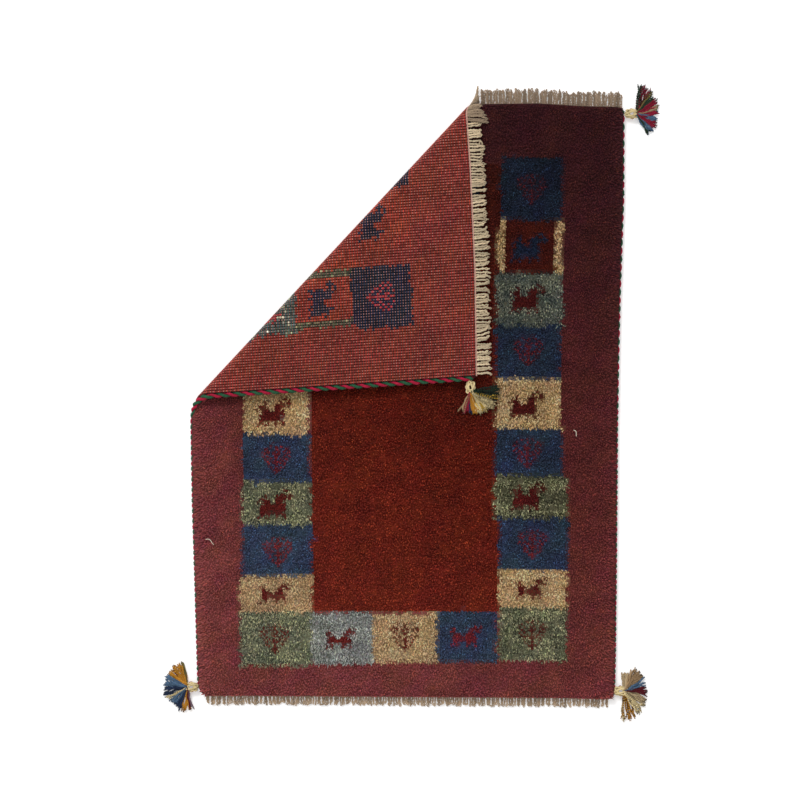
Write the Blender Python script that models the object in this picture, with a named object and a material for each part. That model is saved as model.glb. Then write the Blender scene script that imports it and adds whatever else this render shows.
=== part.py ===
"""A small hand-knotted gabbeh rug that lies pile up on a floor, one corner folded over.

Metres, +Z up. The origin is on the rug's underside, at the middle of the flat rug.
+X runs across the rug, +Y along it, towards the end whose left corner is folded over.

Every piece is drawn flat first, as (across, along, height above the underside), and then
laid: past the fold line it goes round the fold and comes back, upside down, on the rug.
"""

import math
import random

import bmesh
import bpy
from mathutils import Vector

# The rug's build, from the underside up.
THICKNESS = 0.0125
PIECE_GAP = 0.0003
TINY = 1e-6

# The edges of the flat rug: the place along the edge, and where the edge is there.
LEFT_EDGE = (  # along, across
    (-0.420, -0.2988), (-0.400, -0.2992), (-0.242, -0.3039), (-0.146, -0.3070),
    (-0.050, -0.3087), (0.000, -0.3090), (0.425, -0.3110),
)
RIGHT_EDGE = (  # along, across
    (-0.425, 0.2996), (-0.355, 0.3010), (-0.226, 0.3024), (-0.040, 0.3039),
    (0.056, 0.3054), (0.146, 0.3075), (0.289, 0.3126), (0.425, 0.3132),
)
BOTTOM_EDGE = (  # across, along
    (-0.310, -0.4188), (-0.200, -0.4188), (0.000, -0.4203), (0.200, -0.4216), (0.310, -0.4240),
)
TOP_EDGE = (  # across, along
    (-0.315, 0.4118), (-0.152, 0.4211), (-0.009, 0.4247), (0.106, 0.4251),
    (0.189, 0.4261), (0.252, 0.4222), (0.315, 0.4208),
)
CORNER_RADIUS = {"bottom_left": 0.0140, "bottom_right": 0.0060, "top_right": 0.0050, "top_left": 0.0060}
TIGHTEST_CORNER = 0.0015
CORNER_STEPS = 3
SIDE_STEPS = 12
END_STEPS = 9
GRID_PITCH = 0.075
CUTS_ACROSS = range(-5, 6)
CUTS_ALONG = range(-3, 4)

# The rug's edge in section, from the underside up. The weave stops short of the side cords,
# whose room lies under the pile, and the pile leans out over the cords and the fringes.
EDGE_ROWS = (  # height, set back at the sides, set back at the ends
    (0.0000, 0.0112, 0.0005),
    (0.0036, 0.0108, 0.0003),
    (0.0089, 0.0098, -0.0006),
    (0.0093, 0.0026, -0.0012),
    (0.0112, 0.0016, -0.0012),
    (0.0125, 0.0042, 0.0016),
)

# The fold: a line across the top left corner, and the bend that the rug makes along it.
FOLD_POINT = Vector((-0.2425, 0.0463))
FOLD_ANGLE = math.radians(47.05)
FOLD_STEPS = 8
LAYER_GAP = 0.0020
NEUTRAL_RADIUS = 0.0120
FLAP_LIFT = 0.0025
FLAP_REACH = 0.2615
FOLD_ALONG = Vector((math.cos(FOLD_ANGLE), math.sin(FOLD_ANGLE)))
FOLD_OUT = Vector((-math.sin(FOLD_ANGLE), math.cos(FOLD_ANGLE)))
BEND_LENGTH = math.pi * NEUTRAL_RADIUS
BEND_HEIGHT = THICKNESS + LAYER_GAP / 2

# The overcast cords along the two sides.
CORD_RADIUS = 0.0042
CORD_HEIGHT = 0.0044
CORD_SET_BACK = 0.0046
CORD_END_GAP = {"side_cord_left": (0.0100, 0.0040), "side_cord_right": (0.0040, 0.0040)}
CORD_SPACING = 0.024
CORD_BEND_SPACING = 0.0035

# The warp fringes: strands that leave a narrow strip just past each end of the rug.
STRIP_START = 0.0003
STRIP_END = 0.0033
STRIP_HEIGHT = 0.0026
STRAND_WIDTH = 0.0026
STRAND_HEIGHT = 0.0020
STRAND_TIP = 0.6
STRAND_WANDER = 0.0011
STRAND_STEPS = (0.45, 1.0)
SHORTEST_STRAND = 0.80
FLAP_STRAND_CLEARANCE = 0.0016
DROOP_POWER = 1.3
FRINGES = (  # name, end of the rug, from across, to across, strands, length, lean
    ("fringe_bottom", "bottom", -0.2840, 0.2880, 100, 0.0155, 0.0),
    ("fringe_top", "top", 0.1080, 0.3080, 36, 0.0235, 0.0),
    ("fringe_fold", "top", 0.0590, 0.1040, 8, 0.0330, -0.0040),
    ("fringe_flap", "top", -0.3030, 0.0550, 63, 0.0240, 0.0),
)

# The corner tassels: a knotted head, a neck back to the corner, and a fan of yarn locks.
HEAD_RADIUS = 0.0065
HEAD_HEIGHT = 0.0075
HEAD_CROWN = 0.0018
HEAD_CROWN_TAPER = 0.30
NECK_HALF_WIDTH = 0.0052
LOCK_COUNT = 21
LOCK_HEIGHT = 0.0026
LOCK_FILL = 0.60
LOCK_WIDTH = 0.0036
LOCK_TIP = 0.7
LOCK_STEPS = (0.25, 0.62, 1.0)
FAN_ON_PILE = THICKNESS + PIECE_GAP
TASSELS = {
    "tassel_top_right": {
        "root": (0.3289, 0.4118), "neck": (0.3137, 0.4118), "base": 0.0,
        "fan": (  # angle, length
            (88, 0.0430), (75, 0.0465), (50, 0.0395), (14, 0.0350),
            (-14, 0.0305), (-34, 0.0360), (-64, 0.0350),
        ),
    },
    "tassel_bottom_left": {
        "root": (-0.3117, -0.4068), "neck": (-0.2995, -0.4068), "base": 0.0,
        "fan": (  # angle, length
            (96, 0.0370), (115, 0.0390), (143, 0.0370), (180, 0.0365), (207, 0.0385),
            (230, 0.0330), (252, 0.0390), (284, 0.0340),
        ),
    },
    "tassel_bottom_right": {
        "root": (0.3110, -0.4126), "neck": (0.3003, -0.4126), "base": 0.0,
        "fan": (  # angle, length
            (96, 0.0270), (76, 0.0270), (60, 0.0400), (31, 0.0375), (14, 0.0335),
            (-20, 0.0360), (-48, 0.0415), (-75, 0.0455), (-98, 0.0450),
        ),
    },
    "tassel_flap": {
        "root": (0.0915, 0.0150), "neck": (0.0918, 0.0288), "base": FAN_ON_PILE,
        "fan": (  # angle, length
            (12, 0.0440), (3, 0.0460), (-20, 0.0435), (-45, 0.0410),
            (-75, 0.0350), (-93, 0.0325), (-116, 0.0345),
        ),
    },
}

# Colours of the plain solids.
PILE_RED = (0.30, 0.060, 0.050)
CORD_CRIMSON = (0.42, 0.030, 0.070)
WARP_WOOL = (0.55, 0.45, 0.33)
TASSEL_WOOL = (0.30, 0.10, 0.12)


def between(table, at):
    """Straight-line value of a two-column table."""
    for (start, low), (end, high) in zip(table, table[1:]):
        if at <= end:
            return low + (high - low) * max(0.0, at - start) / (end - start)
    return table[-1][1]


def smooth(value):
    """Eased step from 0 to 1."""
    value = min(1.0, max(0.0, value))
    return value * value * (3 - 2 * value)


def fold_reach(across, along):
    """How far a flat point lies past the fold line."""
    return (Vector((across, along)) - FOLD_POINT).dot(FOLD_OUT)


def bend_angle(across, along):
    """How far round the fold a flat point is carried: 0 on the rug, pi on the flap."""
    return min(1.0, max(0.0, fold_reach(across, along) / BEND_LENGTH)) * math.pi


def lay(across, along, height):
    """Carry a flat point to where it lies once the corner is folded over."""
    reach = fold_reach(across, along)
    if reach <= 0:
        return Vector((across, along, height))
    on_axis = FOLD_POINT + FOLD_ALONG * (Vector((across, along)) - FOLD_POINT).dot(FOLD_ALONG)
    angle = bend_angle(across, along)
    radius = BEND_HEIGHT - height
    past_bend = max(0.0, reach - BEND_LENGTH)
    plan = on_axis + FOLD_OUT * (radius * math.sin(angle) - past_bend)
    lift = FLAP_LIFT * math.sin(math.pi * min(1.0, past_bend / FLAP_REACH))
    return Vector((plan.x, plan.y, BEND_HEIGHT - radius * math.cos(angle) + lift))


def side_ring(set_back_sides, set_back_ends):
    """The rug's outline, set back by different amounts at the sides and at the ends."""
    def corner(side, side_sign, end, end_sign, radius):
        wide = max(TIGHTEST_CORNER, radius - set_back_sides)
        deep = max(TIGHTEST_CORNER, radius - set_back_ends)
        across = between(side, end[0][1]) - side_sign * set_back_sides
        along = between(end, across) - end_sign * set_back_ends
        turns = [math.pi / 2 * step / CORNER_STEPS for step in range(CORNER_STEPS + 1)]
        return [Vector((across - side_sign * wide * (1 - math.cos(turn)),
                        along - end_sign * deep * (1 - math.sin(turn)))) for turn in turns]

    def run(start, stop, steps):
        return [start.lerp(stop, step / steps) for step in range(1, steps)]

    def on_side(points, table, sign):
        return [Vector((between(table, p.y) - sign * set_back_sides, p.y)) for p in points]

    def on_end(points, table, sign):
        return [Vector((p.x, between(table, p.x) - sign * set_back_ends)) for p in points]

    bottom_right = corner(RIGHT_EDGE, 1, BOTTOM_EDGE, -1, CORNER_RADIUS["bottom_right"])[::-1]
    top_right = corner(RIGHT_EDGE, 1, TOP_EDGE, 1, CORNER_RADIUS["top_right"])
    top_left = corner(LEFT_EDGE, -1, TOP_EDGE, 1, CORNER_RADIUS["top_left"])[::-1]
    bottom_left = corner(LEFT_EDGE, -1, BOTTOM_EDGE, -1, CORNER_RADIUS["bottom_left"])
    right = on_side(run(bottom_right[-1], top_right[0], SIDE_STEPS), RIGHT_EDGE, 1)
    top = on_end(run(top_right[-1], top_left[0], END_STEPS), TOP_EDGE, 1)
    left = on_side(run(top_left[-1], bottom_left[0], SIDE_STEPS), LEFT_EDGE, -1)
    bottom = on_end(run(bottom_left[-1], bottom_right[0], END_STEPS), BOTTOM_EDGE, -1)
    return bottom_right + right + top_right + top + top_left + left + bottom_left + bottom


def raise_face(bm, face, places):
    """Extrude one face and put its corners, in their order, at the given places."""
    raised = bmesh.ops.extrude_discrete_faces(bm, faces=[face])["faces"][0]
    for vert, place in zip(raised.verts, places):
        vert.co = place
    return raised


def prism(bm, outline, low, high):
    """A flat outline given a thickness. Its vertices keep flat coordinates."""
    base = bm.faces.new([bm.verts.new((point.x, point.y, low)) for point in outline])
    raised = bmesh.ops.extrude_face_region(bm, geom=[base])["geom"]
    for vert in (item for item in raised if isinstance(item, bmesh.types.BMVert)):
        vert.co.z = high
    return next(item for item in raised if isinstance(item, bmesh.types.BMFace))


def finish_piece(bm, name, colour, roughness):
    """Turn a bmesh into a named object with its own material."""
    bmesh.ops.recalc_face_normals(bm, faces=bm.faces)
    mesh = bpy.data.meshes.new(name)
    bm.to_mesh(mesh)
    bm.free()
    piece = bpy.data.objects.new(name, mesh)
    collection.objects.link(piece)
    dress(piece, colour, roughness)
    return piece


def dress(piece, colour, roughness):
    """Give a piece its own plain material."""
    material = bpy.data.materials.new(piece.name)
    material.use_nodes = True
    shader = material.node_tree.nodes["Principled BSDF"]
    shader.inputs["Base Color"].default_value = (*colour, 1.0)
    shader.inputs["Roughness"].default_value = roughness
    shader.inputs["Metallic"].default_value = 0.0
    piece.data.materials.append(material)


def make_rug_body():
    """The weave and its pile: one slab with shaped edges, cut where it bends, then laid."""
    bm = bmesh.new()
    rings = [side_ring(sides, ends) for height, sides, ends in EDGE_ROWS]
    heights = [row[0] for row in EDGE_ROWS]
    face = prism(bm, rings[0], heights[0], heights[1])
    order = [min(range(len(rings[0])), key=lambda i: (rings[0][i] - vert.co.xy).length)
             for vert in face.verts]
    for vert, index in zip(face.verts, order):
        vert.co.xy = rings[1][index]
    for height, ring in zip(heights[2:], rings[2:]):
        face = raise_face(bm, face, [(*ring[index], height) for index in order])

    cuts = [(Vector((0, GRID_PITCH * row, 0)), Vector((0, 1, 0))) for row in CUTS_ACROSS]
    cuts += [(Vector((GRID_PITCH * column, 0, 0)), Vector((1, 0, 0))) for column in CUTS_ALONG]
    for step in range(FOLD_STEPS + 1):
        place = FOLD_POINT + FOLD_OUT * BEND_LENGTH * step / FOLD_STEPS
        cuts.append((place.to_3d(), FOLD_OUT.to_3d()))
    for place, normal in cuts:
        everything = bm.verts[:] + bm.edges[:] + bm.faces[:]
        bmesh.ops.bisect_plane(bm, geom=everything, plane_co=place, plane_no=normal, dist=TINY)
    for vert in bm.verts:
        vert.co = lay(*vert.co)
    return finish_piece(bm, "rug_body", PILE_RED, 0.95)


def make_side_cord(name, table, inward):
    """An overcast cord along one side, round the fold where the rug goes round it."""
    gap_at_start, gap_at_end = CORD_END_GAP[name]
    start = between(BOTTOM_EDGE, table[0][1]) + gap_at_start
    stop = between(TOP_EDGE, table[-1][1]) - gap_at_end
    points = []
    along = start
    while along < stop - CORD_BEND_SPACING / 2:
        across = between(table, along) + inward * CORD_SET_BACK
        points.append(lay(across, along, CORD_HEIGHT))
        reach = fold_reach(across, along)
        bending = -CORD_SPACING < reach < BEND_LENGTH + CORD_BEND_SPACING
        along += CORD_BEND_SPACING if bending else CORD_SPACING
    points.append(lay(between(table, stop) + inward * CORD_SET_BACK, stop, CORD_HEIGHT))

    curve = bpy.data.curves.new(name, "CURVE")
    curve.dimensions = "3D"
    curve.bevel_depth = CORD_RADIUS
    curve.bevel_resolution = 2
    curve.use_fill_caps = True
    spline = curve.splines.new("POLY")
    spline.points.add(len(points) - 1)
    for point, place in zip(spline.points, points):
        point.co = (*place, 1.0)
    cord = bpy.data.objects.new(name, curve)
    collection.objects.link(cord)
    dress(cord, CORD_CRIMSON, 0.9)
    return cord


def trail(end, across, beyond, height, length):
    """Where a point lies that is a distance beyond the end of the rug, at a place across it."""
    if end == "bottom":
        return Vector((across, between(BOTTOM_EDGE, across) - beyond, height))
    edge = between(TOP_EDGE, across)
    angle = bend_angle(across, edge)
    root = lay(across, edge, height)
    bent = FOLD_OUT.to_3d() * math.cos(angle) + Vector((0, 0, math.sin(angle)))
    outward = bent * FOLD_OUT.y + FOLD_ALONG.to_3d() * FOLD_ALONG.y
    middle = STRAND_HEIGHT / 2
    root_height = lay(across, edge, middle).z
    tip_height = middle + (THICKNESS + FLAP_STRAND_CLEARANCE - middle) * smooth(angle / math.pi)
    drop = root_height + outward.z * length - tip_height
    share = max(0.0, beyond - STRIP_END) / (length - STRIP_END)
    return root + outward * beyond - Vector((0, 0, drop * share ** DROOP_POWER))


def make_fringe(name, end, start, stop, count, length, lean):
    """Warp strands whose roots are fused into a narrow strip just past the rug's end."""
    wander = random.Random(name)
    pitch = (stop - start) / count
    half = STRAND_WIDTH / 2
    roots = [start + pitch * (index + 0.5) for index in range(count)]
    outer = [edge for root in roots for edge in (root - half, root + half)]
    outline = [Vector((across, STRIP_END)) for across in outer]
    outline += [Vector((across, STRIP_START)) for across in reversed(outer)]
    bm = bmesh.new()
    prism(bm, outline, 0.0, STRIP_HEIGHT)
    fronts = [face for face in bm.faces if face.calc_center_median().y > STRIP_END - TINY]
    for root in roots:
        face = min(fronts, key=lambda front: abs(front.calc_center_median().x - root))
        fronts.remove(face)
        reach = length * wander.uniform(SHORTEST_STRAND, 1.0)
        sway = lean + wander.uniform(-STRAND_WANDER, STRAND_WANDER)
        corners = [((vert.co.x > root) * 2 - 1, vert.co.z > STRIP_HEIGHT / 2) for vert in face.verts]
        for share in STRAND_STEPS:
            narrow = 1 - (1 - STRAND_TIP) * share
            across = root + sway * share ** 2
            beyond = STRIP_END + (reach - STRIP_END) * share
            face = raise_face(bm, face, [
                (across + side * half * narrow, beyond, upper * STRAND_HEIGHT * narrow)
                for side, upper in corners])
    for vert in bm.verts:
        vert.co = trail(end, vert.co.x, vert.co.y, vert.co.z, length)
    return finish_piece(bm, name, WARP_WOOL, 0.9)


def make_tassel(name, root, neck, base, fan):
    """A knotted head with its neck, and the fan of yarn locks that spreads from it."""
    root = Vector(root)
    back = Vector(neck) - root
    first, last = math.radians(fan[0][0]), math.radians(fan[-1][0])
    turn = (last - first) / (2 * LOCK_COUNT - 1)
    arc = [first + turn * (step - 0.5) for step in range(2 * LOCK_COUNT)]
    front = [Vector((math.cos(a), math.sin(a))) * HEAD_RADIUS for a in arc]
    sideways = Vector((-back.y, back.x)).normalized() * NECK_HALF_WIDTH
    if sideways.dot(front[-1]) < 0:
        sideways.negate()
    outline = front + [back + sideways, back - sideways]
    bm = bmesh.new()
    top = prism(bm, outline, base, base + HEAD_HEIGHT)
    centre = top.calc_center_median().xy
    raise_face(bm, top, [(*vert.co.xy.lerp(centre, HEAD_CROWN_TAPER), base + HEAD_HEIGHT + HEAD_CROWN)
                         for vert in top.verts])

    lengths = sorted((math.radians(angle), length) for angle, length in fan)
    middle = base + HEAD_HEIGHT / 2
    sides = [face for face in bm.faces if abs(face.calc_center_median().z - middle) < TINY]
    for index in range(LOCK_COUNT):
        angle = first + turn * 2 * index
        ahead = Vector((math.cos(angle), math.sin(angle)))
        across = Vector((-ahead.y, ahead.x))
        place = ahead * HEAD_RADIUS
        face = min(sides, key=lambda side: (side.calc_center_median().xy - place).length)
        sides.remove(face)
        reach = between(lengths, angle)
        corners = [((vert.co.xy.dot(across) > 0) * 2 - 1, vert.co.z > middle) for vert in face.verts]
        for share in LOCK_STEPS:
            distance = HEAD_RADIUS + (reach - HEAD_RADIUS) * share
            width = min(LOCK_WIDTH, 2 * abs(turn) * distance * LOCK_FILL)
            if share == LOCK_STEPS[-1]:
                width *= LOCK_TIP
            height = LOCK_HEIGHT + (HEAD_HEIGHT - LOCK_HEIGHT) * (1 - share) ** 2
            face = raise_face(bm, face, [
                (*(ahead * distance + across * side * width / 2), base + upper * height)
                for side, upper in corners])
    bmesh.ops.translate(bm, verts=bm.verts, vec=root.to_3d())
    return finish_piece(bm, name, TASSEL_WOOL, 0.9)


for leftover in list(bpy.data.objects):
    bpy.data.objects.remove(leftover, do_unlink=True)
collection = bpy.data.collections.new("gabbeh_rug")
bpy.context.scene.collection.children.link(collection)

make_rug_body()
make_side_cord("side_cord_left", LEFT_EDGE, 1)
make_side_cord("side_cord_right", RIGHT_EDGE, -1)
for row in FRINGES:
    make_fringe(*row)
for tassel_name, sizes in TASSELS.items():
    make_tassel(tassel_name, **sizes)
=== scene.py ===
"""A gabbeh rug that lies pile up with one corner folded over: its pile, weave, cords and yarns.

Everything is drawn flat first, as (across, along, height above the underside) in metres,
and then laid as the rug lies, with its top left corner folded over onto the pile.
"""

import math

import bpy
import numpy as np
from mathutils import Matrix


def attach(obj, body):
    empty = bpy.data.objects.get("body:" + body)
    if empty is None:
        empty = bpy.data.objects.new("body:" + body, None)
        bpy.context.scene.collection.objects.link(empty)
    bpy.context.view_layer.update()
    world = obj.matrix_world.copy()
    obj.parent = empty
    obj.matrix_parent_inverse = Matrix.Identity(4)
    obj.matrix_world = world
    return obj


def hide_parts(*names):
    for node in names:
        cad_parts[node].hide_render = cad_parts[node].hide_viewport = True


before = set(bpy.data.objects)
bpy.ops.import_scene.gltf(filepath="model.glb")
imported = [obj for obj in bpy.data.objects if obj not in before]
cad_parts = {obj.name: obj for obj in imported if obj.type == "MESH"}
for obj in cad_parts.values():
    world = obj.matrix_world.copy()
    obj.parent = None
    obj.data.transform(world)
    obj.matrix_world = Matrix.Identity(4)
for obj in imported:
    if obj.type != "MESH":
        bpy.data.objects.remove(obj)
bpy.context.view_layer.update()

# The rug lies on a plain white floor and is seen from straight above through a long lens.
# A pale sky gives even light, and a wide soft sun low at the near left gives the pile its relief.
VIEW_CENTRE = (-0.0086, 0.0029)
VIEW_WIDTH = 1.144
VIEW_HEIGHT = 5.0
SENSOR_WIDTH = 36.0
FLOOR_DROP = 0.0006
FLOOR_HALF = 4.0
FLOOR_WHITE = (0.93, 0.93, 0.93, 1.0)
FLOOR_GLOW = 0.30
SKY_STRENGTH = 0.72
SUN_STRENGTH = 1.5
SUN_ANGLE = math.radians(20)
SUN_TILT = (math.radians(-38), math.radians(-24), 0.0)

scene = bpy.context.scene
scene.view_settings.view_transform = "Standard"
camera = bpy.data.objects.new("camera_above", bpy.data.cameras.new("camera_above"))
scene.collection.objects.link(camera)
camera.location = (*VIEW_CENTRE, VIEW_HEIGHT)
camera.data.sensor_width = SENSOR_WIDTH
camera.data.lens = SENSOR_WIDTH * VIEW_HEIGHT / VIEW_WIDTH
camera.data.clip_end = 50.0
scene.camera = camera

sky = bpy.data.worlds.new("studio_sky")
sky.use_nodes = True
sky.node_tree.nodes["Background"].inputs["Color"].default_value = (1.0, 1.0, 1.0, 1.0)
sky.node_tree.nodes["Background"].inputs["Strength"].default_value = SKY_STRENGTH
scene.world = sky
sun = bpy.data.objects.new("soft_sun", bpy.data.lights.new("soft_sun", "SUN"))
sun.data.energy = SUN_STRENGTH
sun.data.angle = SUN_ANGLE
sun.rotation_euler = SUN_TILT
scene.collection.objects.link(sun)

floor_mesh = bpy.data.meshes.new("white_floor")
corners = [(x * FLOOR_HALF, y * FLOOR_HALF, -FLOOR_DROP) for x, y in ((-1, -1), (1, -1), (1, 1), (-1, 1))]
floor_mesh.from_pydata(corners, [], [(0, 1, 2, 3)])
floor_paint = bpy.data.materials.new("white_floor_paint")
floor_paint.use_nodes = True
floor_shader = floor_paint.node_tree.nodes["Principled BSDF"]
floor_shader.inputs["Base Color"].default_value = FLOOR_WHITE
floor_shader.inputs["Roughness"].default_value = 1.0
floor_shader.inputs["Specular IOR Level"].default_value = 0.0
floor_shader.inputs["Emission Color"].default_value = FLOOR_WHITE
floor_shader.inputs["Emission Strength"].default_value = FLOOR_GLOW
floor_mesh.materials.append(floor_paint)
floor = bpy.data.objects.new("white_floor", floor_mesh)
scene.collection.objects.link(floor)

# The rug itself: a wool ground weave with a row of knots between wefts, and the dense lower
# part of the cut pile on it. It is one cloth, with its top left corner folded over.
LEFT_EDGE = np.array((  # along, across
    (-0.420, -0.2988), (-0.400, -0.2992), (-0.242, -0.3039), (-0.146, -0.3070),
    (-0.050, -0.3087), (0.000, -0.3090), (0.425, -0.3110),
))
RIGHT_EDGE = np.array((  # along, across
    (-0.425, 0.2996), (-0.355, 0.3010), (-0.226, 0.3024), (-0.040, 0.3039),
    (0.056, 0.3054), (0.146, 0.3075), (0.289, 0.3126), (0.425, 0.3132),
))
BOTTOM_EDGE = np.array((  # across, along
    (-0.310, -0.4188), (-0.200, -0.4188), (0.000, -0.4203), (0.200, -0.4216), (0.310, -0.4240),
))
TOP_EDGE = np.array((  # across, along
    (-0.315, 0.4118), (-0.152, 0.4211), (-0.009, 0.4247), (0.106, 0.4251),
    (0.189, 0.4261), (0.252, 0.4222), (0.315, 0.4208),
))
CORNERS = (  # side, end, radius
    (-1, -1, 0.0140), (1, -1, 0.0060), (1, 1, 0.0050), (-1, 1, 0.0060),
)
TIGHTEST_CORNER = 0.0015
THICKNESS = 0.0125
WEAVE_SET_BACK = (0.0078, 0.0005)
EDGE_SPREAD = (0.0260, 0.0120)
BODY_ROWS = (  # height, set back at the sides, set back at the ends
    (0.0000, 0.0078, 0.0005),
    (0.0022, 0.0086, 0.0003),
    (0.0087, 0.0096, -0.0002),
    (0.0091, 0.0036, -0.0002),
    (0.0098, 0.0032, 0.0006),
)
FOLD_POINT = np.array((-0.2425, 0.0463))
FOLD_ANGLE = math.radians(47.05)
FOLD_ALONG = np.array((math.cos(FOLD_ANGLE), math.sin(FOLD_ANGLE)))
FOLD_OUT = np.array((-math.sin(FOLD_ANGLE), math.cos(FOLD_ANGLE)))
LAYER_GAP = 0.0020
BEND_LENGTH = math.pi * 0.0120
BEND_HEIGHT = THICKNESS + LAYER_GAP / 2
FLAP_LIFT = 0.0025
FLAP_REACH = 0.2615
KNOT_COLUMNS = 158
KNOT_ROWS = 222
KNOT_PITCH = 0.0038
PILE_LEAN = 0.0018
DEEP_PILE_SHADE = 0.48
WEAVE_GAP_SHADE = 0.22
BAKE_SHARE, BAKE_RIM_STEP = 0.96, 0.008

# On the pile, the far right and near left colours hold painted shade and painted sheen as well as the abrash.
DYES = (  # name, at the far right, at the middle, at the near left, its fleck, share of flecks, spread, back
    ("field red", "#36120e", "#671709", "#892f21", "#9c3c24", 0.20, 0.26, "#96382a"),
    ("border red", "#461d23", "#743332", "#974e4e", "#96463e", 0.16, 0.22, "#8e362c"),
    ("indigo", "#1a202f", "#323a4f", "#465066", "#4a6a92", 0.14, 0.30, "#232a3c"),
    ("sky", "#818786", "#8e908e", "#959792", "#dcdfd4", 0.24, 0.30, "#66757c"),
    ("teal", "#48504e", "#505853", "#606a65", "#c0c0a0", 0.22, 0.34, "#4a5854"),
    ("green", "#434333", "#50503b", "#6d7260", "#c2bf92", 0.24, 0.34, "#4a5040"),
    ("beige", "#c19d6d", "#cba572", "#c8a279", "#f2dcae", 0.28, 0.28, "#98805c"),
    ("madder", "#431014", "#5b1717", "#742825", "#8a2c22", 0.15, 0.20, "#a03034"),
    ("dull crimson", "#311a23", "#5d202b", "#7c2e36", "#a8302e", 0.25, 0.26, "#a0343a"),
    ("navy", "#172031", "#252e43", "#333b53", "#38507a", 0.15, 0.26, "#262c3c"),
    ("olive", "#7c6d43", "#86774b", "#8e7e55", "#d8cc9c", 0.30, 0.36, "#4c5040"),
)
SQUARES = (  # ground, figure, its dye, dye of its side frames, left, right, lower, upper
    ("indigo", "tree", "dull crimson", "", 0.1359, 0.2231, 0.2577, 0.3481),
    ("field red", "goat", "navy", "beige", 0.1316, 0.2231, 0.1832, 0.2577),
    ("teal", "goat", "madder", "", 0.1280, 0.2231, 0.1088, 0.1832),
    ("indigo", "tree", "dull crimson", "", 0.1279, 0.2210, 0.0310, 0.1088),
    ("beige", "goat", "madder", "", 0.1278, 0.2202, -0.0393, 0.0310),
    ("indigo", "tree", "dull crimson", "", 0.1266, 0.2231, -0.1061, -0.0393),
    ("green", "goat", "madder", "", 0.1258, 0.2300, -0.1659, -0.1061),
    ("indigo", "tree", "dull crimson", "", 0.1320, 0.2317, -0.2405, -0.1659),
    ("beige", "small goat", "madder", "", 0.1330, 0.2302, -0.2947, -0.2405),
    ("green", "tree", "madder", "", 0.1330, 0.2290, -0.3704, -0.2947),
    ("indigo", "tree", "dull crimson", "", -0.2254, -0.1380, 0.2438, 0.3289),
    ("field red", "goat", "navy", "olive", -0.2194, -0.1380, 0.1630, 0.2438),
    ("teal", "goat", "madder", "", -0.2254, -0.1380, 0.0930, 0.1630),
    ("indigo", "tree", "dull crimson", "", -0.2300, -0.1390, 0.0200, 0.0930),
    ("beige", "goat", "madder", "", -0.2321, -0.1396, -0.0468, 0.0200),
    ("indigo", "tree", "dull crimson", "", -0.2337, -0.1379, -0.1154, -0.0468),
    ("green", "goat", "madder", "", -0.2337, -0.1350, -0.1767, -0.1154),
    ("indigo", "tree", "dull crimson", "", -0.2331, -0.1330, -0.2495, -0.1767),
    ("beige", "small goat", "madder", "", -0.2368, -0.1330, -0.3006, -0.2495),
    ("green", "tree", "madder", "", -0.2368, -0.1347, -0.3772, -0.3006),
    ("sky", "small goat", "madder", "", -0.1347, -0.0469, -0.3745, -0.3015),
    ("beige", "tree", "madder", "", -0.0469, 0.0440, -0.3735, -0.3020),
    ("indigo", "small goat", "dull crimson", "", 0.0440, 0.1301, -0.3720, -0.3000),
    ("field red", "goat", "navy", "", -0.1150, -0.0320, 0.2240, 0.3360),
    ("indigo", "tree", "dull crimson", "", -0.0270, 0.0443, 0.2570, 0.3350),
    ("field red", "goat", "navy", "", 0.0443, 0.1359, 0.2570, 0.3390),
)
MIXED_DYES = ("sky", "teal", "green", "beige", "olive")
# The slant and reaches of the pile's painted sheen and painted shade, which also hold its abrash.
SHEEN_AND_ABRASH_SLANT = 0.70
NEAR_SHEEN_AND_ABRASH_REACH = 0.45
FAR_SHADE_AND_ABRASH_REACH = 0.50
PATCH_DEPTH, PATCH_SIZE = 0.16, 0.13
HUE_DRIFT, HUE_DRIFT_SIZE = 0.16, 0.10
HUE_DRIFT_PARTS = (0.25, 1.0, -0.4)
MIXED_HUE_DRIFT = 0.25
BAND_SIZE = 0.030
CLOSE_FIBRE_SHARE = 0.30
EDGE_WOBBLE = (0.6, 0.5)
RING_LEFT = -0.1360
RING_RIGHT = 0.1330
RING_LOWER = -0.3000
RING_UPPER = 0.2570
FRAME_WIDTH = 0.0095
SQUARES_LEFT, SQUARES_RIGHT = -0.240, 0.234
SQUARES_LOWER, SQUARES_UPPER = -0.380, 0.352
FIGURES = {
    "goat": (
        "..........##..",
        "...#.....#..#.",
        "...#...#######",
        ".###...####.#.",
        "#.###..###....",
        "..#########...",
        ".##########...",
        ".##########...",
        ".#########....",
        ".##.#..#.##...",
        "#..#...#..#...",
    ),
    "small goat": (
        ".........#.#",
        ".#......###.",
        "##.....##.##",
        ".###..###...",
        ".#########..",
        ".#########..",
        ".##...##.#..",
        "#.#...#..#..",
    ),
    "tree": (
        "...#.#.#...",
        ".#...#...#.",
        "#.#.#.#.#.#",
        ".#..###..#.",
        "#.#..#..#.#",
        ".#.#.#.#.#.",
        "..#.###.#..",
        "..#..#..#..",
        "...#.#.#...",
        "....###....",
        ".....#.....",
    ),
}


def fold_reach(across, along):
    """How far flat points lie past the fold line."""
    return (across - FOLD_POINT[0]) * FOLD_OUT[0] + (along - FOLD_POINT[1]) * FOLD_OUT[1]


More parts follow.
